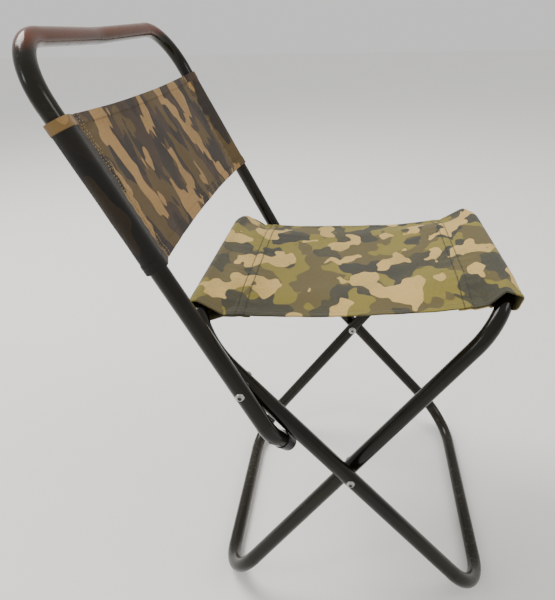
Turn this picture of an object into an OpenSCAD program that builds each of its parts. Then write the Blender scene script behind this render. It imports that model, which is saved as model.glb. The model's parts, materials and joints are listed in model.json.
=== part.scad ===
// Folding camp chair: two crossed tube loops, a leaning tube backrest,
// a cloth seat and a cloth back panel. Millimetres, +X forward, +Z up.
// The origin is on the floor, under the middle of the whole chair.

/* [Tube] */
// Outside diameter of all frame tubes
tube_d = 18; // [16:0.5:22]
// Wall thickness of the tubes
tube_wall = 1.2; // [1:0.1:1.6]

/* [Leg frames] */
// Width over the outer leg frame's tubes
leg_frame_w = 380; // [320:5:460]
// Room between neighbouring tubes at a rivet
frame_gap = 1.5; // [1.4:0.1:3]
// Cross rivet to either floor bar, along the leg
leg_lower = 265; // [220:1:320]
// Cross rivet to the rear seat bar, along the leg
rear_leg_upper = 260; // [235:1:320]
// Cross rivet to the front seat bar, along the leg
front_leg_upper = 274; // [235:1:330]
// Slope of the legs from the floor, in degrees
leg_angle = 50.7; // [46:0.1:56]
// Centreline radius of the bends at the floor
floor_bend_r = 66; // [50:1:80]
// Centreline radius of the bends at the seat
seat_bend_r = 65; // [50:1:75]

/* [Backrest frame] */
// Cross rivet to backrest rivet, along the outer leg
back_pivot_up = 174; // [150:1:185]
// Slope of the backrest from the floor, in degrees
back_slope = 64.5; // [64:0.1:68]
// Backrest rivet to the top bar's centreline
back_h = 375; // [340:5:450]
// Centreline radius of the top bends
back_bend_r = 60; // [45:1:75]
// Backward tilt of the top bends, which bows the top bar
bow_tilt = 3; // [2:0.5:6]
// Centreline radius of the slight bend in the middle of the top bar
bow_bend_r = 150; // [100:10:300]
// Centreline radius of the inward bends at the lower ends
end_bend_r = 40; // [34:1:50]
// How far the lower ends turn inward, in degrees
end_bend_a = 36; // [25:1:38]
// Straight tube between the lower bend and the end cap
end_bare = 12; // [8:1:16]

/* [End caps] */
// Length of tube inside an end cap
cap_grip = 16; // [12:1:22]
// Wall of an end cap
cap_wall = 1; // [0.8:0.1:1.4]
// Thickness of an end cap's closed end
cap_end = 3; // [2:0.5:5]
// Rounding of an end cap's edge
cap_edge_r = 2.5; // [1.5:0.5:4]

/* [Rivets and washers] */
// Rivet shank diameter
rivet_d = 6; // [5:0.5:7]
// Rivet factory head diameter
rivet_head_d = 9.4; // [9:0.2:11]
// Rivet factory head height
rivet_head_h = 2.6; // [1.8:0.1:3]
// Rivet set head diameter
rivet_tail_d = 8.4; // [7.6:0.2:10]
// Rivet set head height
rivet_tail_h = 1.4; // [1:0.1:2]
// Washer diameter
washer_d = 12; // [11:0.5:14]
// Washer thickness
washer_t = 0.8; // [0.6:0.1:1]
// Running clearance between shank and holes, on the radius
pin_clearance = 0.05; // [0.03:0.01:0.1]
// Clearance between faces that turn past each other
face_clearance = 0.3; // [0.3:0.05:0.5]

/* [Joint plugs] */
// Length of the plug that joins a leg frame's two tube ends
plug_l = 60; // [40:5:90]
// Gap between the two tube ends
butt_gap = 0.4; // [0.2:0.1:1]

/* [Seat cloth] */
// How far round the seat bends the cloth's edges lie, in degrees
seat_edge_a = 48.26; // [30:0.1:50]
// Cloth thickness, seat and back
cloth_t = 1.2; // [1:0.1:2]
// Room between a sleeve and its tube
sleeve_gap = 0.3; // [0.3:0.1:1]
// Seat bar centre to the middle of its seam
seat_seam_in = 47; // [38:1:60]
// Spacing of the two rows of seat stitches
seat_row_gap = 9; // [6:1:12]
// Sag of the seat below its seams
seat_sag = 12; // [6:1:16]

/* [Back cloth] */
// Back cloth's upper edge to the start of the top bends
back_cloth_drop = 11; // [4:1:16]
// Height of the back cloth
back_cloth_h = 151; // [120:1:155]
// Tube centre to the middle of the back seam
back_seam_in = 32; // [26:1:45]
// Spacing of the two rows of back stitches
back_row_gap = 5; // [4:0.5:8]

/* [Stitching] */
// Width of a row of stitches
thread_w = 0.8; // [0.6:0.1:1.2]
// Height of a row of stitches above the cloth
thread_h = 0.4; // [0.3:0.1:0.6]

/* [Hidden] */
$fn = 64;

left = 1;
right = -1;

tube_r = tube_d / 2;
bore_r = tube_r - tube_wall;
rivet_r = rivet_d / 2;
hole_r = rivet_r + pin_clearance;

// Half widths of the three frames, to the tube centrelines.
outer_half = leg_frame_w / 2 - tube_r;
inner_half = outer_half - tube_d - frame_gap;
back_half = outer_half + tube_d + frame_gap;

// Directions in the side view, measured up from the front.
outer_dir = 180 - leg_angle;
inner_dir = leg_angle;
back_dir = 180 - back_slope;

// Sleeves: inside and outside radii round a tube.
sleeve_in = tube_r + sleeve_gap;
sleeve_out = sleeve_in + cloth_t;

// The lower ends of the backrest bear on the outer legs where the caps begin.
cap_r = tube_r + cap_wall;
stop_reach = (tube_r + cap_r + face_clearance) / sin(back_slope - leg_angle);
end_straight = stop_reach - end_bend_r * sin(end_bend_a) - end_bare * cos(end_bend_a);
lower_knee = [back_half - end_bend_r, -end_straight];

// A tube swells a little where it is bent, and the swelling runs past the bend.
bend_swell = 0.1;
bend_lap = 0.6;

// Half of the top bar: a slight bend in its middle, then straight to the top bend.
bar_straight = (back_half - bow_bend_r * sin(bow_tilt)) / cos(bow_tilt) - back_bend_r;
bow = bow_bend_r * (1 - cos(bow_tilt)) + (bar_straight + back_bend_r) * sin(bow_tilt);

// Side view: where the cross rivets are, so that the whole chair is centred.
front_reach = front_leg_upper * cos(leg_angle) + sleeve_out;
back_reach = back_pivot_up * cos(leg_angle) + back_h * cos(back_slope)
    + bow * sin(back_slope) + tube_r + bend_swell;
hip = [
    (back_reach - front_reach) / 2,
    leg_lower * sin(leg_angle) + tube_r + bend_swell
];

// A point in the side view at a distance along a direction from another point.
function along(from, dir, dist) = from + dist * [cos(dir), sin(dir)];

rear_bar = along(hip, outer_dir, rear_leg_upper);
front_bar = along(hip, inner_dir, front_leg_upper);
back_pivot = along(hip, outer_dir, back_pivot_up);

// Washers, heads and clearances stacked along a rivet, from the middle outward.
cross_inner_face = inner_half - tube_r - face_clearance;
cross_outer_face = outer_half + tube_r;
back_inner_face = outer_half - tube_r;
back_outer_face = back_half + tube_r + face_clearance;

// The seat reaches past the inner frame's straight bar, part of the way round its bends.
seat_w = 2 * (inner_half - seat_bend_r + seat_bend_r * sin(seat_edge_a));

// How much deeper than a straight bar's a sleeve is, so that it holds the bends of a
// frame of the given half width.
function bend_drop(half) =
    let (past = max(0, seat_w / 2 - (half - seat_bend_r)))
    seat_bend_r - tube_r - sqrt(pow(seat_bend_r - tube_r - bend_swell, 2) - pow(past, 2));

// Backrest rivet to the back cloth's lower edge.
back_cloth_from = back_h - back_bend_r - back_cloth_drop - back_cloth_h;

seam_band = seat_row_gap + 5;
back_band = back_row_gap + 4;

steel_paint = [0.09, 0.08, 0.05];
rivet_steel = [0.75, 0.74, 0.72];
cap_black = [0.05, 0.05, 0.06];
cloth_olive = [0.45, 0.41, 0.26];
thread_brown = [0.30, 0.26, 0.16];

// ---------- placing ----------

// Stands a flat drawing on a direction of the side view: its X runs across the
// chair, its Y along the direction and its Z out of the front face.
module stand(at, dir) {
    translate([at.x, 0, at.y])
        rotate([0, 90 - dir, 0])
            rotate([90, 0, 90])
                children();
}

// Points a part's Z axis outward on one side of the chair.
module outward(at, side, from) {
    translate([at.x, side * from, at.y])
        rotate([-90 * side, 0, 0])
            children();
}

// Extrudes a side view, drawn as [forward, up], across the chair.
module across(width) {
    translate([0, width / 2, 0])
        rotate([90, 0, 0])
            linear_extrude(width)
                children();
}

// ---------- bent tubes ----------

// Flat drawings, stood up by their frame: X across the chair, Y up the frame.

// A straight run between two points.
module run(a, b, r) {
    translate([a.x, a.y, 0])
        rotate([0, 90, atan2(b.y - a.y, b.x - a.x)])
            cylinder(h = norm(b - a), r = r);
}

// A bend about a centre. It is a little fuller than the straight tube, and laps
// over the straight tube at both ends.
module bend(centre, bend_r, start, sweep, r) {
    lap = bend_lap / bend_r * 180 / PI;
    translate([centre.x, centre.y, 0])
        rotate([0, 0, start - lap])
            rotate_extrude(angle = sweep + 2 * lap)
                translate([bend_r, 0])
                    circle(r = r + bend_swell);
}

// A half and its mirror image.
module both_sides() {
    children();
    mirror([1, 0, 0])
        children();
}

// The closed loop of a leg frame, about its cross rivets.
module leg_loop(half, upper, r) {
    seat_corner = [half - seat_bend_r, upper - seat_bend_r];
    floor_corner = [half - floor_bend_r, floor_bend_r - leg_lower];
    run([-seat_corner.x, upper], [seat_corner.x, upper], r);
    run([-floor_corner.x, -leg_lower], [floor_corner.x, -leg_lower], r);
    both_sides() {
        run([half, floor_corner.y], [half, seat_corner.y], r);
        bend(seat_corner, seat_bend_r, 0, 90, r);
        bend(floor_corner, floor_bend_r, 270, 90, r);
    }
}

// A part's Z axis along the lower end of the backrest tube, from its bend's end.
module at_lower_end() {
    translate([lower_knee.x, lower_knee.y, 0])
        rotate([0, 0, -end_bend_a])
            translate([end_bend_r, 0, 0])
                rotate([90, 0, 0])
                    children();
}

// One side of the backrest tube, from beside the middle of the top bar to the
// lower end.
module backrest_side(r) {
    top_knee = [back_half, back_h - back_bend_r];
    translate([top_knee.x, top_knee.y, 0])
        rotate([0, -bow_tilt, 0]) {
            bend([-back_bend_r, 0], back_bend_r, 0, 90, r);
            run([-back_bend_r, back_bend_r], [-back_bend_r - bar_straight, back_bend_r], r);
        }
    run([back_half, -end_straight], top_knee, r);
    bend(lower_knee, end_bend_r, -end_bend_a, end_bend_a, r);
    at_lower_end()
        cylinder(h = end_bare + cap_grip, r = r);
}

module backrest_tube(r) {
    both_sides()
        backrest_side(r);
    translate([0, back_h, bow_bend_r - bow])
        rotate([-90, 0, 0])
            bend([0, 0], bow_bend_r, 90 - bow_tilt, 2 * bow_tilt, r);
}

// Rivet holes through both sides of a frame.
module rivet_holes(half, up) {
    translate([0, up, 0])
        rotate([0, 90, 0])
            cylinder(h = 2 * half + 2 * tube_d, r = hole_r, center = true);
}

module leg_frame(half, upper, hole_heights) {
    difference() {
        leg_loop(half, upper, tube_r);
        leg_loop(half, upper, bore_r);
        for (up = hole_heights)
            rivet_holes(half, up);
        translate([0, upper, 0])
            cube([butt_gap, 2 * tube_d, 2 * tube_d], center = true);
    }
}

module outer_leg_frame() {
    color(steel_paint)
        stand(hip, outer_dir)
            leg_frame(outer_half, rear_leg_upper, [0, back_pivot_up]);
}

module inner_leg_frame() {
    color(steel_paint)
        stand(hip, inner_dir)
            leg_frame(inner_half, front_leg_upper, [0]);
}

module joint_plug(dir, upper) {
    color(rivet_steel)
        stand(hip, dir)
            translate([0, upper, 0])
                rotate([0, 90, 0])
                    cylinder(h = plug_l, r = bore_r - pin_clearance, center = true);
}

module outer_frame_joint_plug() {
    joint_plug(outer_dir, rear_leg_upper);
}

module inner_frame_joint_plug() {
    joint_plug(inner_dir, front_leg_upper);
}

module backrest_frame() {
    color(steel_paint)
        stand(back_pivot, back_dir)
            difference() {
                backrest_tube(tube_r);
                backrest_tube(bore_r);
                rivet_holes(back_half, 0);
            }
}

// ---------- end caps ----------

// The solid of a cap, with its mouth at the origin and Z along the tube.
module cap_solid() {
    length = cap_grip + cap_end;
    rotate_extrude()
        difference() {
            union() {
                square([cap_r, length - cap_edge_r]);
                square([cap_r - cap_edge_r, length]);
                translate([cap_r - cap_edge_r, length - cap_edge_r])
                    circle(r = cap_edge_r);
            }
            square([tube_r + pin_clearance, cap_grip]);
        }
}

module end_cap(side) {
    color(cap_black)
        stand(back_pivot, back_dir)
            mirror([side == left ? 0 : 1, 0, 0])
                at_lower_end()
                    translate([0, 0, end_bare])
                        cap_solid();
}

module left_end_cap() { end_cap(left); }
module right_end_cap() { end_cap(right); }

// ---------- rivets and washers ----------

// A semi-tubular rivet along Z: shank below zero, domed head above it.
module rivet(grip) {
    dome_r = (pow(rivet_head_d / 2, 2) + pow(rivet_head_h, 2)) / (2 * rivet_head_h);
    hollow_r = rivet_r * 0.55;
    hollow_depth = rivet_head_h * 0.5;
    rotate_extrude()
        difference() {
            union() {
                intersection() {
                    translate([0, rivet_head_h - dome_r])
                        circle(r = dome_r);
                    square([rivet_head_d / 2, rivet_head_h]);
                }
                translate([0, -grip])
                    square([rivet_r, grip]);
                translate([0, -grip - rivet_tail_h])
                    square([rivet_tail_d / 2, rivet_tail_h]);
            }
            translate([0, rivet_head_h - hollow_depth])
                square([hollow_r, hollow_depth]);
        }
}

module washer() {
    difference() {
        cylinder(h = washer_t, d = washer_d);
        translate([0, 0, -1])
            cylinder(h = washer_t + 2, r = hole_r);
    }
}

module cross_rivet(side) {
    color(rivet_steel)
        outward(hip, side, cross_outer_face)
            rivet(cross_outer_face - cross_inner_face + washer_t);
}

module cross_spacer(side) {
    color(rivet_steel)
        outward(hip, side, outer_half - tube_r - washer_t)
            washer();
}

module cross_end_washer(side) {
    color(rivet_steel)
        outward(hip, side, cross_inner_face - washer_t)
            washer();
}

module backrest_rivet(side) {
    color(rivet_steel)
        outward(back_pivot, side, back_outer_face)
            rivet(back_outer_face - back_inner_face + washer_t);
}

module backrest_spacer(side) {
    color(rivet_steel)
        outward(back_pivot, side, outer_half + tube_r)
            washer();
}

module backrest_end_washer(side) {
    color(rivet_steel)
        outward(back_pivot, side, back_inner_face - washer_t)
            washer();
}

module left_cross_rivet() { cross_rivet(left); }
module right_cross_rivet() { cross_rivet(right); }
module left_cross_spacer() { cross_spacer(left); }
module right_cross_spacer() { cross_spacer(right); }
module left_cross_end_washer() { cross_end_washer(left); }
module right_cross_end_washer() { cross_end_washer(right); }
module left_backrest_rivet() { backrest_rivet(left); }
module right_backrest_rivet() { backrest_rivet(right); }
module left_backrest_spacer() { backrest_spacer(left); }
module right_backrest_spacer() { backrest_spacer(right); }
module left_backrest_end_washer() { backrest_end_washer(left); }
module right_backrest_end_washer() { backrest_end_washer(right); }

// ---------- cloth ----------

// The section of a sleeve that tapers to its seam. The bends at a bar's ends drop
// by the given shift, and the sleeve is deep enough for them.
module sleeve_section(bar, shift, r, mouth, mouth_r) {
    hull() {
        translate(bar)
            circle(r = r, $fn = 48);
        translate(bar + shift)
            circle(r = r, $fn = 48);
        translate(mouth)
            circle(r = mouth_r, $fn = 24);
    }
}

// A sleeve and the band where its two layers are sewn together.
module sleeve_wall(bar, shift, seam, band) {
    toward_bar = [sign(bar.x - seam.x), 0];
    mouth = seam + toward_bar * band / 2;
    difference() {
        sleeve_section(bar, shift, sleeve_out, mouth, cloth_t);
        sleeve_section(bar, shift, sleeve_in, mouth + toward_bar * 2 * cloth_t, cloth_t / 4);
    }
    translate(seam)
        square([band, 2 * cloth_t], center = true);
}

rear_seam = rear_bar + [seat_seam_in, 0];
front_seam = front_bar - [seat_seam_in, 0];
rear_shift = bend_drop(outer_half) * [cos(leg_angle), -sin(leg_angle)];
front_shift = bend_drop(inner_half) * [-cos(leg_angle), -sin(leg_angle)];

// A point of the seat between its seams, with 0 at the rear seam and 1 at the front.
function seat_point(share) =
    rear_seam + share * (front_seam - rear_seam) - [0, 4 * seat_sag * share * (1 - share)];

// Half the cloth's thickness, up or down from its middle.
function off_cloth(point, side) = point + [0, side * cloth_t / 2];

module seat_cloth() {
    steps = 12;
    color(cloth_olive)
        across(seat_w) {
            sleeve_wall(rear_bar, rear_shift, rear_seam, seam_band);
            sleeve_wall(front_bar, front_shift, front_seam, seam_band);
            polygon(concat(
                [for (i = [0:steps]) off_cloth(seat_point(i / steps), -1)],
                [for (i = [steps:-1:0]) off_cloth(seat_point(i / steps), 1)]
            ));
        }
}

// Two rows of stitches along one seat seam, on top of the cloth.
module seat_stitching(seam) {
    color(thread_brown)
        for (row = [-0.5, 0.5])
            translate([seam.x + row * seat_row_gap, 0, seam.y + cloth_t + thread_h / 2])
                cube([thread_w, seat_w, thread_h], center = true);
}

module rear_seat_stitching() { seat_stitching(rear_seam); }
module front_seat_stitching() { seat_stitching(front_seam); }

// Extrudes a drawing that looks down along the backrest tubes.
module up_the_back(from, height) {
    stand(back_pivot, back_dir)
        translate([0, from + height, 0])
            rotate([90, 0, 0])
                linear_extrude(height)
                    children();
}

module backrest_cloth() {
    bar = [back_half, 0];
    seam = bar - [back_seam_in, 0];
    color(cloth_olive)
        up_the_back(back_cloth_from, back_cloth_h) {
            both_sides()
                sleeve_wall(bar, [0, 0], seam, back_band);
            square([2 * seam.x, cloth_t], center = true);
        }
}

module backrest_stitching(side) {
    color(thread_brown)
        up_the_back(back_cloth_from, back_cloth_h)
            for (row = [-0.5, 0.5])
                translate([
                    side * (back_half - back_seam_in) + row * back_row_gap,
                    cloth_t + thread_h / 2
                ])
                    square([thread_w, thread_h], center = true);
}

module left_backrest_stitching() { backrest_stitching(left); }
module right_backrest_stitching() { backrest_stitching(right); }

outer_leg_frame();
inner_leg_frame();
backrest_frame();
outer_frame_joint_plug();
inner_frame_joint_plug();
left_end_cap();
right_end_cap();
left_cross_rivet();
right_cross_rivet();
left_cross_spacer();
right_cross_spacer();
left_cross_end_washer();
right_cross_end_washer();
left_backrest_rivet();
right_backrest_rivet();
left_backrest_spacer();
right_backrest_spacer();
left_backrest_end_washer();
right_backrest_end_washer();
seat_cloth();
rear_seat_stitching();
front_seat_stitching();
backrest_cloth();
left_backrest_stitching();
right_backrest_stitching();
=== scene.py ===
import json
import math

import bpy
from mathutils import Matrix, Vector, noise


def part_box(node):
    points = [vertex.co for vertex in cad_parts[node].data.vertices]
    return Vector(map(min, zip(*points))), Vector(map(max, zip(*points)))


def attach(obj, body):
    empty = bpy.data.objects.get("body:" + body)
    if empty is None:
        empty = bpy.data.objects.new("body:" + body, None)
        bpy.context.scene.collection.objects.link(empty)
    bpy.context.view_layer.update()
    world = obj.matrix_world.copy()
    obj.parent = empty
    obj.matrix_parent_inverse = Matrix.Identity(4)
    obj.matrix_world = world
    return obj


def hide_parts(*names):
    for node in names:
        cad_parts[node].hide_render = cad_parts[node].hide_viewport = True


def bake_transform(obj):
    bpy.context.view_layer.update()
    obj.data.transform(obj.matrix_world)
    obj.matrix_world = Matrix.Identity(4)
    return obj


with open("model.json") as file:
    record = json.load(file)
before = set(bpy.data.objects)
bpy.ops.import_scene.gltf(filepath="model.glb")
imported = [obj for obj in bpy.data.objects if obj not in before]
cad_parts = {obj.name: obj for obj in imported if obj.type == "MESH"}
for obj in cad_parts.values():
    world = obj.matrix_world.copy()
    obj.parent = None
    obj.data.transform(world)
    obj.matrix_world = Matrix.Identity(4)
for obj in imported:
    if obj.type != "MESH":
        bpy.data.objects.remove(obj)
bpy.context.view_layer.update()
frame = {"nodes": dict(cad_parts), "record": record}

# A folding camp chair: two crossed tube loops, a leaning tube backrest, a cloth seat
# and a cloth back panel. Metres, +X forward, +Y to the sitter's left, +Z up.

NODES = frame["nodes"]
HINGES = {joint["name"]: Vector(joint["pos_m"]) for joint in frame["record"]["behaviour"]["joints"]}


# ---------- sizes, as the chair is made ----------

TUBE_R = 0.009
CLOTH_T = 0.0010                # the cloth as seen, a little thinner than its solid
LAY = CLOTH_T * 0.55            # a layer's middle surface, from the plane where two layers meet
SLEEVE_R = TUBE_R + 0.0003 + CLOTH_T / 2
LEG_ANGLE = math.radians(50.7)
BACK_SLOPE = math.radians(64.5)
SEAT_BEND_R = 0.065


def middle(node):
    """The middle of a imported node's box."""
    low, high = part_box(node)
    return (low + high) / 2


REAR_BAR = middle("outer_frame_joint_plug")
FRONT_BAR = middle("inner_frame_joint_plug")
HIP = HINGES["fold"]
BACK_PIVOT = HINGES["backrest_fold"]
SEAT_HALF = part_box("seat_cloth")[1].y
REAR_SEAM_X = middle("rear_seat_stitching").x
FRONT_SEAM_X = middle("front_seat_stitching").x
SEAT_ROW = 0.0045               # from a seam's middle to either row of stitches
SEAT_BAND = 0.007               # from a seam's middle to the end of its sewn band
SEAT_SAG = 0.012
REAR_STRAIGHT = 0.116           # half the straight part of each seat bar
FRONT_STRAIGHT = 0.0965
REAR_END_OUT = 0.011            # how much further out each sleeve's pinch lies at the seat's ends
FRONT_END_OUT = 0.013
SEAT_HEM = 0.0075

# The front sleeve's ends. Between these two places it follows its bar, and past them it hangs
# free. Its open right end has two creases that stand off the bar: an x, a z and a radius each.
FRONT_HELD = (-0.131, 0.1405)
FRONT_END_Z = 0.4185
HIGH_CREASE = (0.2172, 0.4317, 0.0030)
LOW_CREASE = (0.2328, 0.4272, 0.0020)

# The lower edge of a sleeve is cut back until it clears the tube by this much.
EDGE_CLEAR = 0.0009
NARROWEST = 0.118

BACK_HALF = 0.2005
BACK_SEAM_Y = 0.1685
BACK_ROW = 0.0025
BACK_BAND = 0.0045
BACK_FROM, BACK_TO = 0.153, 0.304
HEM = 0.0105
FLAP_OVER = 0.001               # a flap starts this far from its pinch
FLAP_PAST = 0.004               # and ends this far past the sewn band
BACK_UP = Vector((-math.cos(BACK_SLOPE), 0, math.sin(BACK_SLOPE)))
BACK_FRONT = Vector((math.sin(BACK_SLOPE), 0, math.cos(BACK_SLOPE)))


# ---------- small tools ----------

def clamp(value, low=0.0, high=1.0):
    return max(low, min(high, value))


def mix(a, b, share):
    return a + (b - a) * share


def ease(value, low=0.0, high=1.0):
    """0 below low, 1 above high and smooth between them."""
    t = clamp((value - low) / (high - low))
    return t * t * (3 - 2 * t)


def scaled(colour, share):
    """The same colour, darker or lighter."""
    return tuple(c * share for c in colour)


def placed(name, data):
    """A new object of the scene."""
    made = bpy.data.objects.new(name, data)
    bpy.context.scene.collection.objects.link(made)
    return made


def measured(row):
    """How far along a row each of its points is."""
    along = [0.0]
    for a, b in zip(row, row[1:]):
        along.append(along[-1] + (b - a).length)
    return along


def hull(discs, sides=72):
    """The taut outline round some discs of a plane, counterclockwise."""
    dots = sorted({
        (round(x + r * math.cos(2 * math.pi * k / sides), 8),
         round(z + r * math.sin(2 * math.pi * k / sides), 8))
        for x, z, r in discs for k in range(sides)
    })

    def half(points):
        kept = []
        for p in points:
            while len(kept) > 1:
                (ax, az), (bx, bz) = kept[-2], kept[-1]
                if (bx - ax) * (p[1] - az) - (bz - az) * (p[0] - ax) > 0:
                    break
                kept.pop()
            kept.append(p)
        return kept[:-1]

    return half(dots) + half(dots[::-1])


def spaced(points, count):
    """count points at even spacing along an open polyline, its ends among them."""
    lengths = [0.0]
    for a, b in zip(points, points[1:]):
        lengths.append(lengths[-1] + math.dist(a, b))
    made, k = [], 0
    for i in range(count):
        want = lengths[-1] * i / (count - 1)
        while k < len(points) - 2 and lengths[k + 1] < want:
            k += 1
        span = lengths[k + 1] - lengths[k]
        share = clamp((want - lengths[k]) / span) if span > 0 else 0.0
        made.append(tuple(mix(p, q, share) for p, q in zip(points[k], points[k + 1])))
    return made


def sleeve_loop(discs, pinch, away, count):
    """A sleeve's section as an open path: from the pinch on the upper layer, over the bar, and
    back to the pinch on the lower layer. away is +1 where the bar lies at larger first values."""
    outline = hull(discs + [(*pinch, LAY)])
    if away > 0:
        outline = outline[::-1]     # over the top toward larger values, and back underneath

    def nearest(place):
        return min(range(len(outline)), key=lambda k: math.dist(outline[k], place))

    start = nearest((pinch[0], pinch[1] + LAY))
    outline = outline[start:] + outline[:start]
    stop = nearest((pinch[0], pinch[1] - LAY))
    tip = max(range(stop), key=lambda k: outline[k][0] * away)
    upper = spaced(outline[:tip + 1], count)
    lower = spaced(outline[tip:stop + 1], count)
    return upper + lower[1:]


def cloth_mesh(name, rows, cut, thick, marks):
    """A cloth shell from rows of points on one layer's middle surface. cut gives each point's place
    on the flat cut and thick how thick the cloth is there. Extra thickness grows on the printed
    side, which faces up where rows and columns turn counterclockwise. marks holds the two
    distances that the seams and hems are laid out by."""
    many, long = len(rows), len(rows[0])

    def tangent(i, j, di, dj):
        a = rows[max(i - di, 0)][max(j - dj, 0)]
        b = rows[min(i + di, many - 1)][min(j + dj, long - 1)]
        return b - a

    printed, reverse = [], []
    for i in range(many):
        for j in range(long):
            normal = tangent(i, j, 0, 1).cross(tangent(i, j, 1, 0))
            normal.normalize()
            printed.append(rows[i][j] + normal * (thick(i, j) - CLOTH_T / 2))
            reverse.append(rows[i][j] - normal * CLOTH_T / 2)
    faces, corners = [], []

    def at(i, j):
        return i * long + j

    def add(face, uv):
        faces.append(face)
        corners.extend(uv)

    back = many * long
    for i in range(many - 1):
        for j in range(long - 1):
            quad = [(i, j), (i, j + 1), (i + 1, j + 1), (i + 1, j)]
            uv = [cut(*q, (i + 0.5, j + 0.5)) for q in quad]
            add([at(*q) for q in quad], uv)
            add([back + at(*q) for q in reversed(quad)], uv[::-1])
    rim = ([(0, j) for j in range(long - 1)] + [(i, long - 1) for i in range(many - 1)]
           + [(many - 1, j) for j in range(long - 1, 0, -1)] + [(i, 0) for i in range(many - 1, 0, -1)])
    for a, b in zip(rim, rim[1:] + rim[:1]):
        uv = [cut(*a, a), cut(*b, b)]
        add([at(*b), at(*a), back + at(*a), back + at(*b)], [uv[1], uv[0], uv[0], uv[1]])
    mesh = bpy.data.meshes.new(name)
    mesh.from_pydata(printed + reverse, [], faces)
    layer = mesh.uv_layers.new(name="cut")
    layer.data.foreach_set("uv", [value for uv in corners for value in uv])
    side = mesh.attributes.new("reverse_side", "FLOAT", "POINT")
    side.data.foreach_set("value", [0.0] * back + [1.0] * back)
    for mark, distance in marks.items():
        laid = mesh.attributes.new(mark, "FLOAT", "POINT")
        laid.data.foreach_set("value", [distance(i, j) for i in range(many) for j in range(long)] * 2)
    mesh.polygons.foreach_set("use_smooth", [True] * len(faces))
    mesh.validate()
    mesh.update()
    return placed(name, mesh)


# ---------- finishes ----------

class Wire:
    """One value of a finish, which takes part in sums as a number does."""

    def __init__(self, finish, socket):
        self.finish, self.socket = finish, socket

    def maths(self, operation, *others, clamped=False):
        return self.finish.node(
            "ShaderNodeMath", {"operation": operation, "use_clamp": clamped},
            {0: self, **{k + 1: other for k, other in enumerate(others)}})

    def __add__(self, other):
        return self.maths("ADD", other)

    def __mul__(self, other):
        return self.maths("MULTIPLY", other)

    def __sub__(self, other):
        return self.maths("SUBTRACT", other)

    def __rsub__(self, other):
        return (self * -1) + other

    __radd__, __rmul__ = __add__, __mul__

    def within(self):
        """The same value, held from 0 to 1."""
        return self.maths("ADD", 0.0, clamped=True)

    def wave(self):
        return self.maths("SINE")

    def above(self, edge, sharpness):
        """1 where the value is over an edge and 0 under it, with a crisp border."""
        return ((self - edge) * sharpness + 0.5).within()

    def near(self, edge, half_width, sharpness):
        """1 close to an edge, on both sides of it."""
        return (((self - edge).maths("ABSOLUTE") * -1 + half_width) * sharpness).within()


class Finish:
    """A material made of nodes. The numbers given are the same all over the surface."""

    def __init__(self, name, **constants):
        self.material = bpy.data.materials.new(name)
        self.material.use_nodes = True
        self.tree = self.material.node_tree
        self.shader = self.tree.nodes["Principled BSDF"]
        for socket, value in constants.items():
            self.shader.inputs[socket.replace("_", " ")].default_value = value

    def node(self, kind, settings=None, inputs=None, out=0):
        """Any node: its type, its settings, and the values or wires of its sockets."""
        made = self.tree.nodes.new(kind)
        for key, value in (settings or {}).items():
            setattr(made, key, value)
        for key, value in (inputs or {}).items():
            if isinstance(value, Wire):
                self.tree.links.new(value.socket, made.inputs[key])
            else:
                made.inputs[key].default_value = value
        return Wire(self, made.outputs[out])

    def place(self):
        return self.node("ShaderNodeTexCoord", out="Object")

    def parts(self, vector):
        """A vector's X, Y and Z."""
        split = self.tree.nodes.new("ShaderNodeSeparateXYZ")
        self.tree.links.new(vector.socket, split.inputs[0])
        return [Wire(self, part) for part in split.outputs]

    def mark(self, name):
        """A distance or a side that the cloth's points carry."""
        return self.node("ShaderNodeAttribute", {"attribute_name": name}, out="Fac")

    def stretched(self, vector, scale, shift=(0, 0, 0)):
        return self.node("ShaderNodeMapping", {}, {
            "Vector": vector, "Location": shift, "Scale": scale})

    def noise(self, vector, scale, detail=2.0, rough=0.5, distortion=0.0, out="Fac"):
        return self.node("ShaderNodeTexNoise", {"noise_dimensions": "3D"}, {
            "Vector": vector, "Scale": scale, "Detail": detail, "Roughness": rough,
            "Distortion": distortion}, out)

    def colours(self, a, b, share):
        """Colour a turning to colour b as share goes from 0 to 1."""
        made = self.tree.nodes.new("ShaderNodeMix")
        made.data_type = "RGBA"
        for socket, value in zip([made.inputs[0], made.inputs[6], made.inputs[7]], [share, a, b]):
            if isinstance(value, Wire):
                self.tree.links.new(value.socket, socket)
            elif isinstance(value, (int, float)):
                socket.default_value = value
            else:
                socket.default_value = (*value, 1.0)
        return Wire(self, made.outputs[2])

    def shift_by(self, vector, other, amount):
        """A vector moved by another, times an amount."""
        step = self.node("ShaderNodeVectorMath", {"operation": "SCALE"}, {0: other, "Scale": amount})
        return self.node("ShaderNodeVectorMath", {"operation": "ADD"}, {0: vector, 1: step})

    def bump(self, height, strength, distance, below=None):
        inputs = {"Height": height, "Strength": strength, "Distance": distance}
        if below is not None:
            inputs["Normal"] = below
        return self.node("ShaderNodeBump", {}, inputs)

    def feed(self, **wires):
        for socket, wire in wires.items():
            self.tree.links.new(wire.socket, self.shader.inputs[socket.replace("_", " ")])
        return self.material


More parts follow.
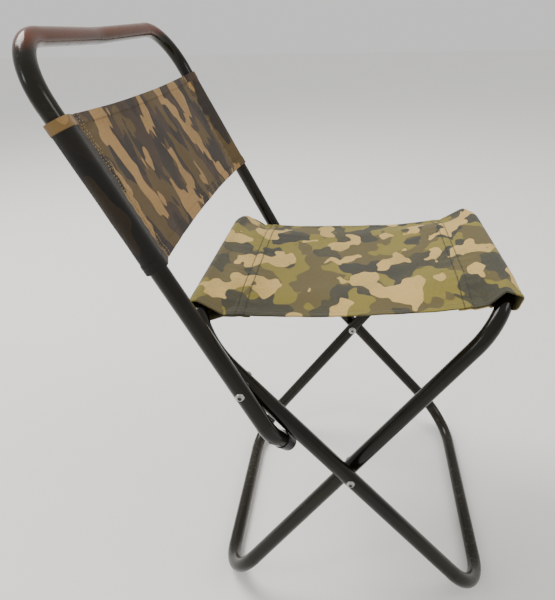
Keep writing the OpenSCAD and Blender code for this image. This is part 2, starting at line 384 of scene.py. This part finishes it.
def gloss_enamel():
    """Glossy dark olive enamel over steel tube, scuffed and dusty near the floor. Near the top bar's
    upper side it is painted reddish brown, a painted reflection."""
    finish = Finish("olive_black_enamel", Specular_IOR_Level=0.20, Coat_Roughness=0.08)
    place = finish.place()
    cloud = finish.noise(place, 9.0, 3.0)
    fine = finish.noise(place, 160.0, 4.0, 0.6)
    height = finish.parts(place)[2]
    dust_fall = 14.0                # to the metre
    painted_reflection_from = 0.676
    low = (1 - height * dust_fall).within()
    scuff = fine.above(0.60, 9.0) * cloud.above(0.50, 5.0)
    dust = low * (cloud * 0.9 + 0.1)
    paint = finish.colours((0.0045, 0.0036, 0.0018), (0.0105, 0.0095, 0.0042), cloud.above(0.5, 3.0))
    scuffed = finish.colours(paint, (0.045, 0.040, 0.028), scuff * (low * 0.55 + 0.10))
    worn = finish.colours(scuffed, (0.085, 0.075, 0.060), dust * 0.30)
    # Painted reflection: above a height near the top bar, the enamel is coloured reddish brown. From here
    # worn holds both the real dust and scuffs and this painted reflection.
    painted_reflection = ((height - painted_reflection_from) * 90.0).within() * (cloud * 0.5 + 0.5)
    worn = finish.colours(worn, (0.140, 0.034, 0.008), painted_reflection * 0.9)
    rough = (cloud * 0.10 + 0.13) + scuff * 0.18 + dust * 0.16
    peel = finish.noise(place, 420.0, 2.0)
    skin = finish.bump(peel + cloud * 1.5, 0.06, 0.0006)
    return finish.feed(Base_Color=worn, Roughness=rough, Normal=skin, Coat_Weight=(1 - dust) * 0.12)


def bright_zinc():
    """Turned, zinc-plated steel with dull specks. Each rivet head has a bright rim and a punched
    middle, which is coloured dark and less metallic."""
    finish = Finish("bright_zinc_steel", Specular_IOR_Level=0.6)
    place = finish.place()
    speck = finish.noise(place, 900.0, 3.0, 0.6)
    cloud = finish.noise(place, 120.0, 2.0)
    x, _, z = finish.parts(place)
    radii = [((x - axis.x) * (x - axis.x) + (z - axis.z) * (z - axis.z)).maths("SQRT")
             for axis in (HIP, BACK_PIVOT)]
    radius = radii[0].maths("MINIMUM", radii[1])
    punch_r = 0.0026
    punched = ((punch_r - radius) * 1800.0).within()
    colour = finish.colours((0.46, 0.45, 0.43), (0.26, 0.25, 0.22), speck.above(0.56, 6.0) * 0.6)
    colour = finish.colours(colour, (0.035, 0.030, 0.026), punched * 0.92)
    return finish.feed(Base_Color=colour, Roughness=cloud * 0.25 + 0.16,
                       Metallic=1 - (speck.above(0.66, 8.0) * 0.5 + punched * 0.6).within(),
                       Normal=finish.bump(speck * 0.3 - punched, 0.35, 0.0008))


def black_plastic():
    """Smooth moulded black plastic with a fine mould grain."""
    finish = Finish("moulded_black_plastic", IOR=1.46)
    place = finish.place()
    grain = finish.noise(place, 1400.0, 2.0)
    rub = finish.noise(place, 90.0, 3.0, 0.6)
    colour = finish.colours((0.010, 0.010, 0.012), (0.040, 0.039, 0.040), rub.above(0.58, 5.0) * 0.5)
    return finish.feed(Base_Color=colour, Roughness=rub * 0.22 + 0.22,
                       Normal=finish.bump(grain, 0.08, 0.0002))


def camouflage(name, shades, stretch, seed, light_from, dark_edge, rows, hem_rows, dim=None):
    """Printed woven cloth. The print lies on the flat cut, which the UV map holds in metres.
    shades are its ground, second, third and light colours, and stretch is how much longer its
    shapes are along the cut than across it. seed picks the light shapes' places, and light_from
    how few there are. rows and hem_rows are where thread pulls the cloth down; the colour is
    darkened there as painted shade in the pressed lines. dim is (edge, top): past that edge the
    cloth is nearly black below that top, painted shade over the print's darker colours, and tan
    above it."""
    finish = Finish(name, Sheen_Weight=0.12, Sheen_Roughness=0.5, Specular_IOR_Level=0.25)
    cut = finish.node("ShaderNodeUVMap", {"uv_map": "cut"}, out="UV")
    coarse = 20.0                   # shapes to the metre
    sway = 0.66
    yarn_pitch = 0.0007
    line_half, line_edge = 0.0011, 900.0

    def shapes(start, size):
        """A smooth field with wavy islands, each layer from its own place in the noise."""
        along, across = coarse * size / math.sqrt(stretch), coarse * size * math.sqrt(stretch)
        base = finish.stretched(cut, (along, across, 1.0), (start, start * 0.37, start * 1.7))
        swing = finish.node("ShaderNodeVectorMath", {"operation": "SUBTRACT"}, {
            0: finish.noise(base, 2.3, 0.0, out="Color"), 1: (0.5, 0.5, 0.5)})
        return finish.noise(finish.shift_by(base, swing, sway), 1.0, 0.15, 0.5)

    ground, second, third, light = shades
    middle_field = shapes(3.1, 1.0)
    deep_field = shapes(11.7, 1.1)
    sand_field = shapes(seed, 1.25)
    colour = finish.colours(ground, second, middle_field.above(0.495, 90.0))
    colour = finish.colours(colour, third, deep_field.above(0.553, 90.0))
    colour = finish.colours(colour, dark_edge, sand_field.near(light_from - 0.007, 0.006, 260.0) * 0.55)
    colour = finish.colours(colour, light, sand_field.above(light_from, 110.0))
    ink = finish.noise(cut, 260.0, 3.0, 0.6)
    fade = finish.noise(cut, 14.0, 2.0)
    worn = (ink * 0.5 + fade * 0.5).above(0.53, 6.0) * 0.30
    colour = finish.colours(colour, scaled(ground, 0.62), worn)
    # The weave is two sets of yarns at right angles.
    warp, weft, _ = finish.parts(cut)
    turns = 2 * math.pi / yarn_pitch
    weave = (warp * turns).wave() * (weft * turns).wave()
    colour = finish.colours(colour, (0.03, 0.028, 0.02), (weave * 0.5 + 0.5) * 0.10)
    reverse, along, side = (finish.mark(name) for name in ("reverse_side", "along", "side"))

    def lines(mark, places):
        made = mark.near(places[0], line_half, line_edge)
        for where in places[1:]:
            made = made.maths("MAXIMUM", mark.near(where, line_half, line_edge))
        return made

    seams, hems = lines(along, rows), lines(side, hem_rows)
    pressed = seams.maths("MAXIMUM", hems)
    # Painted shade: the colour is darkened along the stitch rows, and less along the hems, where the
    # pressed cloth dips.
    colour = finish.colours(colour, scaled(third, 0.5), (seams * 0.62 + hems * 0.16).within())
    if dim:
        edge, top = dim
        past = ((edge - along) * 260.0).within()
        hemmed = ((side - top) * 900.0).within()
        # Painted shade on the near sleeve, over the print's darker colours: below its hem the cloth is
        # painted nearly black.
        colour = finish.colours(colour, (0.0070, 0.0068, 0.0058), past * (1 - hemmed) * 0.95)
        colour = finish.colours(colour, scaled(light, 0.72), past * hemmed * 0.55)
    inside = finish.colours(colour, scaled(second, 0.55), 0.72)
    colour = finish.colours(colour, inside, reverse)
    slub = finish.noise(finish.stretched(cut, (60.0, 900.0, 1.0)), 1.0, 2.0)
    skin = finish.bump(weave * 0.6 + slub, 0.35, 0.0003)
    skin = finish.bump(1 - pressed, 0.8, 0.0007, skin)
    return finish.feed(Base_Color=colour, Roughness=ink * 0.18 + 0.72, Normal=skin)


def sewing_thread(name, shade):
    """Twisted thread, darker in fine flecks and lighter in broad patches."""
    finish = Finish(name, Sheen_Weight=0.2, Specular_IOR_Level=0.3)
    place = finish.place()
    twist = finish.noise(place, 1500.0, 2.0)
    tone = finish.noise(place, 60.0, 1.0)
    colour = finish.colours(shade, scaled(shade, 0.45), twist.above(0.5, 4.0) * 0.6)
    colour = finish.colours(colour, scaled(shade, 1.35), tone.above(0.5, 4.0) * 0.4)
    return finish.feed(Base_Color=colour, Roughness=twist * 0.2 + 0.6,
                       Normal=finish.bump(twist, 0.3, 0.0002))


SEAT_SHADES = [(0.250, 0.205, 0.036), (0.122, 0.096, 0.036), (0.046, 0.045, 0.033), (0.660, 0.450, 0.140)]
# The back's print colours are darker and browner than the seat's; the darkening is painted shade on the
# backrest.
BACK_PAINTED_SHADE_COLOURS = [(0.120, 0.078, 0.026), (0.058, 0.035, 0.022), (0.030, 0.021, 0.018), (0.420, 0.250, 0.090)]

enamel = gloss_enamel()
zinc = bright_zinc()
plastic = black_plastic()
seat_print = camouflage(
    "seat_camouflage_cloth", SEAT_SHADES, 0.70, 31.3, 0.588, (0.05, 0.035, 0.02),
    rows=[seam + s * SEAT_ROW for seam in (REAR_SEAM_X, FRONT_SEAM_X) for s in (-1, 1)],
    hem_rows=[s * (SEAT_HALF - 0.0078) for s in (-1, 1)])
back_print = camouflage(
    "back_camouflage_cloth", BACK_PAINTED_SHADE_COLOURS, 2.0, 52.6, 0.606, (0.03, 0.02, 0.015),
    rows=[s * BACK_SEAM_Y + t * BACK_ROW for s in (-1, 1) for t in (-1, 1)],
    hem_rows=[BACK_FROM + HEM, BACK_TO - HEM], dim=(-BACK_SEAM_Y - 0.006, BACK_TO - HEM))
seat_thread = sewing_thread("olive_thread", (0.050, 0.042, 0.020))
back_thread = sewing_thread("tan_thread", (0.42, 0.31, 0.14))


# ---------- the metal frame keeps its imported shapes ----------

for node, packed in NODES.items():
    if node.endswith("_frame"):
        packed.material_slots[0].material = enamel
    elif node.endswith("_cap"):
        packed.material_slots[0].material = plastic
    elif any(word in node for word in ("rivet", "washer", "spacer", "plug")):
        packed.material_slots[0].material = zinc


# ---------- seat ----------

def bend_height(y, straight):
    """How far a seat bar's bend is over its own centre, at a distance from the chair's middle."""
    past = clamp(abs(y) - straight, 0.0, SEAT_BEND_R * 0.98)
    return math.sqrt(SEAT_BEND_R ** 2 - past ** 2)


def bar_drop(y, straight):
    """How far a seat bar's bend has come down its leg."""
    return SEAT_BEND_R - bend_height(y, straight)


def bend_stretch(y, straight):
    """How much further down its leg a bent bar's section reaches than a disc does."""
    return 1.25 * TUBE_R * (SEAT_BEND_R / bend_height(y, straight) - 1)


def seam_height(y, rear):
    """The seams come down a little at the seat's ends, where the bars bend away, and more so at
    the left, where the sleeves have settled."""
    edge = ease(abs(y), 0.080, SEAT_HALF)
    if rear:
        return REAR_BAR.z - (0.0100 if y > 0 else 0.0075) * edge
    return FRONT_BAR.z - (0.0150 if y > 0 else 0.0105) * edge


def seat_height(x, y):
    """The upper layer's middle surface between the outer ends of the two sewn bands."""
    share = clamp((x - REAR_SEAM_X) / (FRONT_SEAM_X - REAR_SEAM_X))
    edge = ease(abs(y), 0.070, SEAT_HALF)
    sag = mix(SEAT_SAG, 0.0060, edge)
    z = mix(seam_height(y, True), seam_height(y, False), share) - 4 * sag * share * (1 - share)
    for seam in (REAR_SEAM_X, FRONT_SEAM_X):
        off = abs(x - seam)
        z += 0.0004 * math.cos(clamp(off / SEAT_ROW) * math.pi / 2) if off < SEAT_ROW else 0.0
        pull = math.exp(-max(off - SEAT_ROW, 0.0) / 0.016) * (1 if off > SEAT_ROW else 0.35)
        swing = noise.noise(Vector((seam * 7, y * 22, 1.3)))
        z += 0.00045 * pull * math.sin(2 * math.pi * y / 0.0155 + 3.0 * swing)
    inner = (ease(x, REAR_SEAM_X + 0.006, REAR_SEAM_X + 0.04)
             * ease(-x, -FRONT_SEAM_X + 0.006, -FRONT_SEAM_X + 0.04))
    z += inner * 0.0016 * noise.noise(Vector((x * 13, y * 17, 4.7)))
    z += inner * 0.0006 * noise.noise(Vector((x * 46, y * 30, 9.2)))
    return z + LAY


def rear_section(y):
    """The discs that the rear sleeve is drawn round, and its pinch, at a distance from the middle.
    The sleeve's right end stands a little open, and its left end has settled on the bend."""
    end = ease(abs(y), REAR_STRAIGHT - 0.004, SEAT_HALF)
    drop = bar_drop(y, REAR_STRAIGHT)
    longer = bend_stretch(y, REAR_STRAIGHT)
    settled = max(drop - longer, 0.0) if y > 0 else 0.0
    discs = [(REAR_BAR.x + down * math.cos(LEG_ANGLE), REAR_BAR.z - down * math.sin(LEG_ANGLE), SLEEVE_R)
             for down in (settled, drop + longer)]
    x = mix(REAR_SEAM_X - SEAT_BAND, REAR_SEAM_X - SEAT_BAND - REAR_END_OUT, end)
    return discs, (x, seat_height(x, y) - LAY)


def front_section(y):
    """The same for the front sleeve. Its right end stands open like a tent where the bar drops
    out, and its left end has settled on the bend."""
    end = ease(abs(y), FRONT_STRAIGHT - 0.004, SEAT_HALF)
    held = clamp(y, *FRONT_HELD)
    drop, longer = bar_drop(held, FRONT_STRAIGHT), bend_stretch(held, FRONT_STRAIGHT)
    bar = (FRONT_BAR.x, FRONT_BAR.z)

    def on_bend(down):
        return (bar[0] - down * math.cos(LEG_ANGLE), bar[1] - down * math.sin(LEG_ANGLE), SLEEVE_R)

    x = mix(FRONT_SEAM_X + SEAT_BAND, FRONT_SEAM_X + SEAT_BAND + FRONT_END_OUT, end)
    z = mix(seat_height(FRONT_SEAM_X + SEAT_BAND, y) - LAY, FRONT_END_Z, end)
    if y > 0:
        return [on_bend(max(drop * 0.7 - longer, 0.0)), on_bend(drop + longer)], (x, z)
    creases = [tuple(mix(a, b, end) for a, b in zip((*bar, SLEEVE_R), crease))
               for crease in (HIGH_CREASE, LOW_CREASE)]
    return creases + [on_bend(drop - longer), on_bend(drop + longer)], (x, z)


def bar_distance(x, z, y, bar, straight, forward):
    """How far a point of a sleeve is from its bar's centreline, bend included."""
    across = abs(y)
    down = ((x - bar.x) * forward * math.cos(LEG_ANGLE) - (z - bar.z) * math.sin(LEG_ANGLE))
    side = ((x - bar.x) * forward * math.sin(LEG_ANGLE) + (z - bar.z) * math.cos(LEG_ANGLE))
    if across < straight:
        return math.hypot(down, side)
    ring = math.hypot(across - straight, SEAT_BEND_R - down)
    return math.hypot(ring - SEAT_BEND_R, side)


SLEEVE_STEPS = 40
PANEL_STEPS = 120
FLAP_STEPS = 5
SEAT_STATIONS = 109


def seat_path(y):
    """The seat cloth's side view at a distance from the middle: from the hem of the flap under the
    rear seam, round the rear bar, over the seat, round the front bar, to the front flap's hem."""
    rear_discs, rear_pinch = rear_section(y)
    front_discs, front_pinch = front_section(y)
    rear = sleeve_loop(rear_discs, rear_pinch, -1, SLEEVE_STEPS)
    front = sleeve_loop(front_discs, front_pinch, 1, SLEEVE_STEPS)
    hem = [REAR_SEAM_X + SEAT_BAND + FLAP_PAST, FRONT_SEAM_X - SEAT_BAND - FLAP_PAST]

    def under(x, towards):
        """A flap lies just under the seat."""
        apart = ease(abs(x - towards), 0.0, 0.006)
        return seat_height(x, y) - CLOTH_T * mix(1.1, 1.25, apart)

    def lift(x):
        """How far the front sleeve's end raises the cloth between the sewn band and the pinch."""
        reach = max(front_pinch[0] - FRONT_SEAM_X - SEAT_BAND, 1e-5)
        share = clamp((x - FRONT_SEAM_X - SEAT_BAND) / reach)
        return share * (front_pinch[1] + LAY - seat_height(front_pinch[0], y))

    path = []
    for k in range(FLAP_STEPS):
        x = mix(hem[0], rear_pinch[0] + FLAP_OVER, k / FLAP_STEPS)
        path.append((x, under(x, rear_pinch[0])))
    path += rear[::-1]
    for k in range(1, PANEL_STEPS):
        x = mix(rear_pinch[0], front_pinch[0], k / PANEL_STEPS)
        path.append((x, seat_height(x, y) + lift(x)))
    path += front
    for k in range(FLAP_STEPS - 1, -1, -1):
        x = mix(hem[1], front_pinch[0] - FLAP_OVER, k / FLAP_STEPS)
        path.append((x, under(x, front_pinch[0]) + lift(x)))
    return path


LOOP = 2 * SLEEVE_STEPS - 1
REAR_LOWER = range(FLAP_STEPS, FLAP_STEPS + SLEEVE_STEPS)
FRONT_LOWER = range(FLAP_STEPS + LOOP + PANEL_STEPS - 1 + SLEEVE_STEPS - 1,
                    FLAP_STEPS + LOOP + PANEL_STEPS - 1 + LOOP)

SECTION_YS = [SEAT_HALF * (k / 96 - 1) for k in range(193)]
SECTIONS = [seat_path(y) for y in SECTION_YS]


def section_point(j, y):
    at = clamp((y / SEAT_HALF + 1) / 2) * (len(SECTION_YS) - 1)
    k = min(int(at), len(SECTION_YS) - 2)
    a, b = SECTIONS[k][j], SECTIONS[k + 1][j]
    return Vector((mix(a[0], b[0], at - k), y, mix(a[1], b[1], at - k)))


def seat_edge(j):
    """Half the cloth's width along one of its lines. The lower layer of each sleeve is narrower,
    so that it clears the tube where the bar bends down through it."""
    for lines, bar, straight, forward in ((REAR_LOWER, REAR_BAR, REAR_STRAIGHT, 1),
                                          (FRONT_LOWER, FRONT_BAR, FRONT_STRAIGHT, -1)):
        if j in lines:
            y = SEAT_HALF
            while y > NARROWEST:
                p, q = section_point(j, -y), section_point(j, y)
                clear = min(bar_distance(p.x, p.z, y, bar, straight, forward),
                            bar_distance(q.x, q.z, y, bar, straight, forward))
                if clear >= TUBE_R + EDGE_CLEAR:
                    break
                y -= 0.0005
            return y
    return SEAT_HALF


edges = [seat_edge(j) for j in range(len(SECTIONS[0]))]
for _ in range(10):
    edges = [min(e, (edges[max(j - 1, 0)] + 2 * e + edges[min(j + 1, len(edges) - 1)]) / 4)
             for j, e in enumerate(edges)]

seat_rows = []
for i in range(SEAT_STATIONS):
    # closer together toward the ends, where the shape changes most
    f = 2 * i / (SEAT_STATIONS - 1) - 1
    f = math.copysign(1 - (1 - abs(f)) ** 1.25, f)
    seat_rows.append([section_point(j, f * edges[j]) for j in range(len(edges))])

seat_along = measured(seat_rows[SEAT_STATIONS // 2])
SEAT_CUT_FROM = (0.02, 0.2)     # where the seat lies on the printed cloth


def seat_cut(i, j, _where):
    return (seat_along[j] + SEAT_CUT_FROM[0], seat_rows[i][j].y + SEAT_CUT_FROM[1])


def seat_hem(inward):
    """How thick the cloth is. Its side edges are turned under and pressed, so it is half as thick
    again there."""
    return CLOTH_T * (1 + 0.5 * (1 - ease(inward, SEAT_HEM - 0.001, SEAT_HEM + 0.001)))


def seat_thickness(i, j):
    return seat_hem(edges[j] - abs(seat_rows[i][j].y))


seat = cloth_mesh("seat_cloth_sheet", seat_rows, seat_cut, seat_thickness,
                  {"along": lambda i, j: seat_rows[i][j].x, "side": lambda i, j: seat_rows[i][j].y})
seat.data.materials.append(seat_print)


# ---------- back panel ----------

def back_point(y, out, up):
    """A place on the backrest: across the chair, out of its front and up its tubes."""
    return BACK_PIVOT + BACK_UP * up + BACK_FRONT * out + Vector((0, y, 0))


BACK_SLEEVE_STEPS = 34
BACK_PANEL_STEPS = 150
BACK_FLAP_STEPS = 4
BACK_STATIONS = 97


def back_out(y, up):
    """The panel's middle surface, out of the plane of the two tubes."""
    share = clamp(abs(y) / BACK_SEAM_Y)
    along = (up - BACK_FROM) / (BACK_TO - BACK_FROM)
    out = -0.0045 * (1 - share ** 2) * (0.6 + 0.4 * math.sin(math.pi * along))
    off = abs(abs(y) - BACK_SEAM_Y)
    side = math.copysign(1, y)
    out += 0.0004 * math.cos(off / BACK_ROW * math.pi / 2) if off < BACK_ROW else 0.0
    pull = math.exp(-max(off - BACK_ROW, 0.0) / 0.014) * (1 if off > BACK_ROW else 0.35)
    swing = noise.noise(Vector((side * 3.3, up * 25, 6.1)))
    out += 0.0005 * pull * math.sin(2 * math.pi * up / 0.014 + 3.0 * swing)
    inner = ease(BACK_SEAM_Y - abs(y), 0.005, 0.03)
    out += inner * 0.0018 * noise.noise(Vector((y * 12, up * 10, 2.6)))
    out += inner * 0.0006 * noise.noise(Vector((y * 40, up * 26, 7.9)))
    return out


def back_path(up):
    """The back cloth's section square to the tubes, from the right flap's hem to the left one's."""
    pinch_y = BACK_SEAM_Y + BACK_BAND
    loose = 0.0006 * noise.noise(Vector((up * 30, 0.5, 3.3)))
    discs = [(BACK_HALF, 0.0, SLEEVE_R), (BACK_HALF - 0.0004, -0.0009 + loose, SLEEVE_R)]
    hem = BACK_SEAM_Y - BACK_BAND - FLAP_PAST

    def sleeve(side):
        """One sleeve and its flap, from the panel round the tube to the flap's hem."""
        loop = sleeve_loop(discs, (pinch_y, back_out(side * pinch_y, up)), 1, BACK_SLEEVE_STEPS)
        flap = []
        for k in range(BACK_FLAP_STEPS):
            y = mix(hem, pinch_y - FLAP_OVER, k / BACK_FLAP_STEPS)
            flap.append((y, back_out(side * y, up) - CLOTH_T * 1.15))
        return [(side * y, out) for y, out in loop + flap[::-1]]

    panel = []
    for k in range(1, BACK_PANEL_STEPS):
        y = mix(-pinch_y, pinch_y, k / BACK_PANEL_STEPS)
        panel.append((y, back_out(y, up) + LAY))
    return sleeve(-1)[::-1] + panel + sleeve(1)


def back_edge_shift(y, top):
    """The panel's free edges curve in a little between the tubes."""
    share = clamp(abs(y) / BACK_SEAM_Y)
    return -0.0032 * (1 - share ** 2) if top else 0.0030 * (1 - share ** 2)


def back_share(i):
    """How far up the panel a row lies, from 0 to 1. The rows lie closer together at its edges."""
    f = 2 * i / (BACK_STATIONS - 1) - 1
    return (math.copysign(1 - (1 - abs(f)) ** 1.35, f) + 1) / 2


back_ups = [mix(BACK_FROM, BACK_TO, back_share(i)) for i in range(BACK_STATIONS)]
back_rows = [
    [back_point(y, out, up + mix(back_edge_shift(y, False), back_edge_shift(y, True), back_share(i)))
     for y, out in back_path(up)]
    for i, up in enumerate(back_ups)]

back_along = measured(back_rows[BACK_STATIONS // 2])
BACK_CUT_FROM = (0.05, 0.02)    # where the panel lies on the printed cloth
HEM_AWAY = 0.31                 # and how far from there the sleeves' turned hems lie
RIGHT_SLEEVE_END = 2 * BACK_SLEEVE_STEPS - 1 + BACK_FLAP_STEPS + 3
LEFT_SLEEVE_START = len(back_along) - RIGHT_SLEEVE_END


def back_cut(i, j, where):
    """Along the tubes first, because the print's long shapes run up the panel. The turned hems at
    the sleeves' upper ends show another part of the print."""
    up = back_ups[i]
    row = where[0]
    hem_row = back_ups[int(row)] >= BACK_TO - HEM
    on_sleeve = where[1] < RIGHT_SLEEVE_END or where[1] > LEFT_SLEEVE_START
    turned = HEM_AWAY if hem_row and on_sleeve else 0.0
    return (up + BACK_CUT_FROM[0] + turned, back_along[j] + BACK_CUT_FROM[1] + turned * 0.6)


def back_hem(up):
    """What the hem adds to the cloth's thickness, as a share of one layer."""
    from_edge = min(up - BACK_FROM, BACK_TO - up)
    return 0.75 * (1 - ease(from_edge, HEM - 0.0006, HEM + 0.0006))


def back_thickness(i, j):
    return CLOTH_T * (1 + back_hem(back_ups[i]))


back = cloth_mesh("back_cloth_sheet", back_rows, back_cut, back_thickness,
                  {"along": lambda i, j: back_rows[i][j].y, "side": lambda i, j: back_ups[i]})
back.data.materials.append(back_print)


# ---------- stitches ----------

def stitch_tree():
    """Lays stitches along every edge chain of a mesh."""
    tree = bpy.data.node_groups.new("row_of_stitches", "GeometryNodeTree")
    face = tree.interface
    face.new_socket("Rows", in_out="INPUT", socket_type="NodeSocketGeometry")
    face.new_socket("Pitch", in_out="INPUT", socket_type="NodeSocketFloat")
    face.new_socket("Stitch Size", in_out="INPUT", socket_type="NodeSocketVector")
    face.new_socket("Thread", in_out="INPUT", socket_type="NodeSocketMaterial")
    face.new_socket("Stitches", in_out="OUTPUT", socket_type="NodeSocketGeometry")
    nodes, links = tree.nodes, tree.links
    given = nodes.new("NodeGroupInput")
    result = nodes.new("NodeGroupOutput")
    curve = nodes.new("GeometryNodeMeshToCurve")
    spacing = nodes.new("GeometryNodeResampleCurve")
    spacing.mode = "LENGTH"
    direction = nodes.new("GeometryNodeInputTangent")
    turn = nodes.new("FunctionNodeAlignRotationToVector")
    turn.axis = "X"
    wobble = nodes.new("FunctionNodeRandomValue")
    wobble.data_type = "FLOAT_VECTOR"
    wobble.inputs["Min"].default_value = (0.86, 0.9, 0.85)
    wobble.inputs["Max"].default_value = (1.06, 1.1, 1.15)
    wobble.inputs["Seed"].default_value = 7
    bead = nodes.new("GeometryNodeMeshUVSphere")
    bead.inputs["Segments"].default_value = 8
    bead.inputs["Rings"].default_value = 6
    bead.inputs["Radius"].default_value = 0.5
    size = nodes.new("ShaderNodeVectorMath")
    size.operation = "MULTIPLY"
    smooth = nodes.new("GeometryNodeSetShadeSmooth")
    place = nodes.new("GeometryNodeInstanceOnPoints")
    realize = nodes.new("GeometryNodeRealizeInstances")
    paint = nodes.new("GeometryNodeSetMaterial")
    for a, b in (
        (given.outputs["Rows"], curve.inputs["Mesh"]),
        (curve.outputs["Curve"], spacing.inputs["Curve"]),
        (given.outputs["Pitch"], spacing.inputs["Length"]),
        (direction.outputs["Tangent"], turn.inputs["Vector"]),
        (spacing.outputs["Curve"], place.inputs["Points"]),
        (bead.outputs["Mesh"], smooth.inputs["Geometry"]),
        (smooth.outputs["Geometry"], place.inputs["Instance"]),
        (turn.outputs["Rotation"], place.inputs["Rotation"]),
        (given.outputs["Stitch Size"], size.inputs[0]),
        (wobble.outputs["Value"], size.inputs[1]),
        (size.outputs["Vector"], place.inputs["Scale"]),
        (place.outputs["Instances"], realize.inputs["Geometry"]),
        (realize.outputs["Geometry"], paint.inputs["Geometry"]),
        (given.outputs["Thread"], paint.inputs["Material"]),
        (paint.outputs["Geometry"], result.inputs["Stitches"]),
    ):
        links.new(a, b)
    return tree


STITCHES = stitch_tree()


def sew(name, lines, pitch, size, thread):
    """A plain mesh of the stitches along some lines of points."""
    points = [p for line in lines for p in line]
    chains, start = [], 0
    for line in lines:
        chains += [(start + k, start + k + 1) for k in range(len(line) - 1)]
        start += len(line)
    mesh = bpy.data.meshes.new(name + "_rows")
    mesh.from_pydata(points, chains, [])
    rows = placed(name + "_rows", mesh)
    modifier = rows.modifiers.new("stitches", "NODES")
    modifier.node_group = STITCHES
    keys = {item.name: item.identifier for item in STITCHES.interface.items_tree}
    modifier[keys["Pitch"]] = pitch
    modifier[keys["Stitch Size"]] = size
    modifier[keys["Thread"]] = thread
    seen = rows.evaluated_get(bpy.context.evaluated_depsgraph_get())
    made = bpy.data.meshes.new_from_object(seen)
    made.name = name
    rows.modifiers.remove(modifier)
    bpy.data.objects.remove(rows)
    return placed(name, made)


def seat_row_line(x):
    """One row of stitches along a seat seam, on top of the hems too."""
    reach = SEAT_HALF - 0.002
    return [Vector((x, y, seat_height(x, y) + seat_hem(SEAT_HALF - abs(y)) - CLOTH_T * 0.38))
            for y in (mix(-reach, reach, k / 240) for k in range(241))]


def back_row_line(y):
    """One row of stitches up the back panel, on top of the hems too."""
    made = []
    for k in range(161):
        f = mix(0.008, 0.992, k / 160)
        up = mix(BACK_FROM, BACK_TO, f)
        shift = mix(back_edge_shift(y, False), back_edge_shift(y, True), f)
        proud = CLOTH_T * (0.62 + back_hem(up))
        made.append(back_point(y, back_out(y, up) + LAY + proud, up + shift))
    return made


SEAT_SEWING = (0.0034, (0.0027, 0.0009, 0.0005), seat_thread)      # pitch, stitch and thread
BACK_SEWING = (0.0032, (0.0025, 0.0009, 0.0006), back_thread)


def sew_seam(name, line, seam, row, sewing):
    """Two rows of stitches, one on each side of a seam's middle."""
    return sew(name, [line(seam - row), line(seam + row)], *sewing)


rear_stitches = sew_seam("rear_seat_stitches", seat_row_line, REAR_SEAM_X, SEAT_ROW, SEAT_SEWING)
front_stitches = sew_seam("front_seat_stitches", seat_row_line, FRONT_SEAM_X, SEAT_ROW, SEAT_SEWING)
left_stitches = sew_seam("left_back_stitches", back_row_line, BACK_SEAM_Y, BACK_ROW, BACK_SEWING)
right_stitches = sew_seam("right_back_stitches", back_row_line, -BACK_SEAM_Y, -BACK_ROW, BACK_SEWING)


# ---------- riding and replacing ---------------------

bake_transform(seat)
for piece, body in ((back, "backrest"), (rear_stitches, "outer_frame"), (front_stitches, "inner_frame"),
                    (left_stitches, "backrest"), (right_stitches, "backrest")):
    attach(piece, body)
for piece, node, slot in (
    (seat, "seat_cloth", "seat_camouflage"),
    (back, "backrest_cloth", "backrest_camouflage"),
    (rear_stitches, "rear_seat_stitching", "thread"),
    (front_stitches, "front_seat_stitching", "thread"),
    (left_stitches, "left_backrest_stitching", "thread"),
    (right_stitches, "right_backrest_stitching", "thread"),
):
    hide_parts(node)


# ---------- floor, light and camera ----------

def floor_finish():
    finish = Finish("pale_floor", Specular_IOR_Level=0.2)
    tone = finish.noise(finish.place(), 1.5, 2.0)
    colour = finish.colours((0.93, 0.93, 0.92), (0.96, 0.96, 0.95), tone)
    return finish.feed(Base_Color=colour, Roughness=tone * 0.1 + 0.8)


FLOOR = 12.0
floor_mesh = bpy.data.meshes.new("floor")
floor_mesh.from_pydata([(-FLOOR, -FLOOR, 0), (FLOOR, -FLOOR, 0), (FLOOR, FLOOR, 0), (-FLOOR, FLOOR, 0)],
                       [], [(0, 1, 2, 3)])
floor_mesh.materials.append(floor_finish())
floor = placed("floor", floor_mesh)


def lamp(name, place, size, watts, colour):
    """A soft square lamp that shines at the middle of the chair."""
    light = bpy.data.lights.new(name, "AREA")
    light.shape = "RECTANGLE"
    light.size, light.size_y = size
    light.energy = watts
    light.color = colour
    lit = placed(name, light)
    lit.location = place
    aim = Vector((0, 0, 0.4)) - Vector(place)
    lit.rotation_euler = aim.to_track_quat("-Z", "Y").to_euler()


lamp("key_lamp", (-1.3, 0.9, 2.7), (1.3, 1.3), 72.0, (1.0, 0.975, 0.93))
lamp("side_lamp", (-2.2, -1.3, 1.9), (0.35, 1.0), 9.0, (0.86, 0.93, 1.0))
lamp("front_lamp", (2.2, -0.6, 2.2), (0.9, 0.9), 14.0, (1.0, 0.96, 0.9))

room = bpy.data.worlds.new("studio")
room.use_nodes = True
glow = room.node_tree.nodes["Background"]
glow.inputs["Color"].default_value = (1.0, 0.99, 0.975, 1.0)
glow.inputs["Strength"].default_value = 0.80
bpy.context.scene.world = room

lens = bpy.data.cameras.new("camera")
lens.lens = 33.75
lens.sensor_width = 36.0
lens.shift_x = -0.1048
lens.shift_y = -0.0510
lens.clip_start, lens.clip_end = 0.01, 60.0
camera = placed("camera", lens)
camera.location = (0.06158, -0.67124, 0.69758)
camera.rotation_euler = (1.148787, 0.016246, 0.025501)
bpy.context.scene.camera = camera
